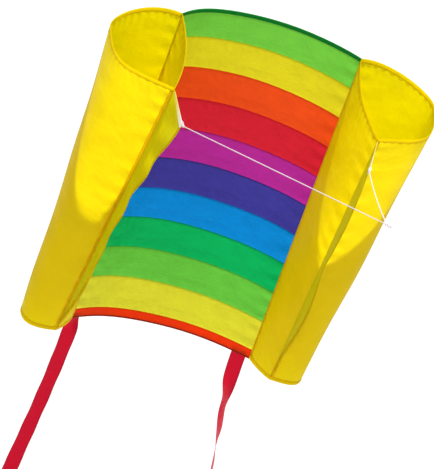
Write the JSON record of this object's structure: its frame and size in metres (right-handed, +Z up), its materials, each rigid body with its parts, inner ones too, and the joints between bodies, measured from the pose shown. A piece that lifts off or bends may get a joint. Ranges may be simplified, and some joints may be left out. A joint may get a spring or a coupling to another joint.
{
  "type": "frameless sled kite",
  "caption": "Frameless sled kite: striped sail between two tapered air cells with keels, a V bridle with a tow loop, and ribbon tails.",
  "frame": {"origin": "the tow point: the far end of the tow loop, where the flying line is hitched", "axes": "+X across the span to the flyer's right, +Y downwind from the flyer to the sail, +Z up the chord towards the leading edge"},
  "size_m": [0.5622, 0.8678, 1.2778],
  "materials": {
    "leading_hem_green": "doubled polyester ripstop, satin",
    "sail_light_green": "polyester ripstop, satin",
    "sail_lemon": "polyester ripstop, satin",
    "sail_orange": "polyester ripstop, satin",
    "sail_red": "polyester ripstop, satin",
    "sail_magenta": "polyester ripstop, satin",
    "sail_indigo": "polyester ripstop, satin",
    "sail_blue": "polyester ripstop, satin",
    "sail_emerald": "polyester ripstop, satin",
    "sail_lime": "polyester ripstop, satin",
    "sail_yellow": "polyester ripstop, satin",
    "trailing_hem_orange": "doubled polyester ripstop, satin",
    "cell_yellow": "polyester ripstop, satin",
    "cell_hem_yellow": "doubled polyester ripstop, satin",
    "patch_white": "heavy woven reinforcement cloth",
    "line_white": "braided polyester line",
    "tail_crimson": "hot-cut nylon ribbon, satin"
  },
  "bodies": {
    "kite": {"sail_leading_hem": "leading_hem_green", "sail_stripe_01_light_green": "sail_light_green", "sail_stripe_02_lemon": "sail_lemon", "sail_stripe_03_orange": "sail_orange", "sail_stripe_04_red": "sail_red", "sail_stripe_05_magenta": "sail_magenta", "sail_stripe_06_indigo": "sail_indigo", "sail_stripe_07_blue": "sail_blue", "sail_stripe_08_emerald": "sail_emerald", "sail_stripe_09_lime": "sail_lime", "sail_stripe_10_yellow": "sail_yellow", "sail_trailing_hem": "trailing_hem_orange", "left_cell_outer_panel": "cell_yellow", "left_cell_inner_panel": "cell_yellow", "left_cell_mouth_hem": "cell_hem_yellow", "left_cell_rear_hem": "cell_hem_yellow", "left_keel_fin": "cell_yellow", "left_keel_patch": "patch_white", "right_cell_outer_panel": "cell_yellow", "right_cell_inner_panel": "cell_yellow", "right_cell_mouth_hem": "cell_hem_yellow", "right_cell_rear_hem": "cell_hem_yellow", "right_keel_fin": "cell_yellow", "right_keel_patch": "patch_white"},
    "bridle": {"left_bridle_knot": "line_white", "right_bridle_knot": "line_white", "left_bridle_leg": "line_white", "right_bridle_leg": "line_white", "tow_knot": "line_white"},
    "tow_loop": {"tow_loop": "line_white"},
    "left_tail": {"left_tail": "tail_crimson"},
    "right_tail": {"right_tail": "tail_crimson"}
  },
  "joints": [
    {"name": "bridle_swing", "type": "hinge", "parent": "kite", "child": "bridle", "pos_m": [0, 0.57795, -0.13385], "axis": [1, 0, 0], "range_deg": [-65, 80]},
    {"name": "tow_loop_swing", "type": "hinge", "parent": "bridle", "child": "tow_loop", "pos_m": [0, 0.02095, -0.00485], "axis": [1, 0, 0], "range_deg": [-80, 80]},
    {"name": "left_tail_swing", "type": "hinge", "parent": "kite", "child": "left_tail", "pos_m": [-0.151, 0.78887, -0.57705], "axis": [0.7946, 0.6071, 0], "range_deg": [-15, 85]},
    {"name": "right_tail_swing", "type": "hinge", "parent": "kite", "child": "right_tail", "pos_m": [0.141, 0.79612, -0.57705], "axis": [0.8238, -0.5669, 0], "range_deg": [-15, 85]}
  ]
}
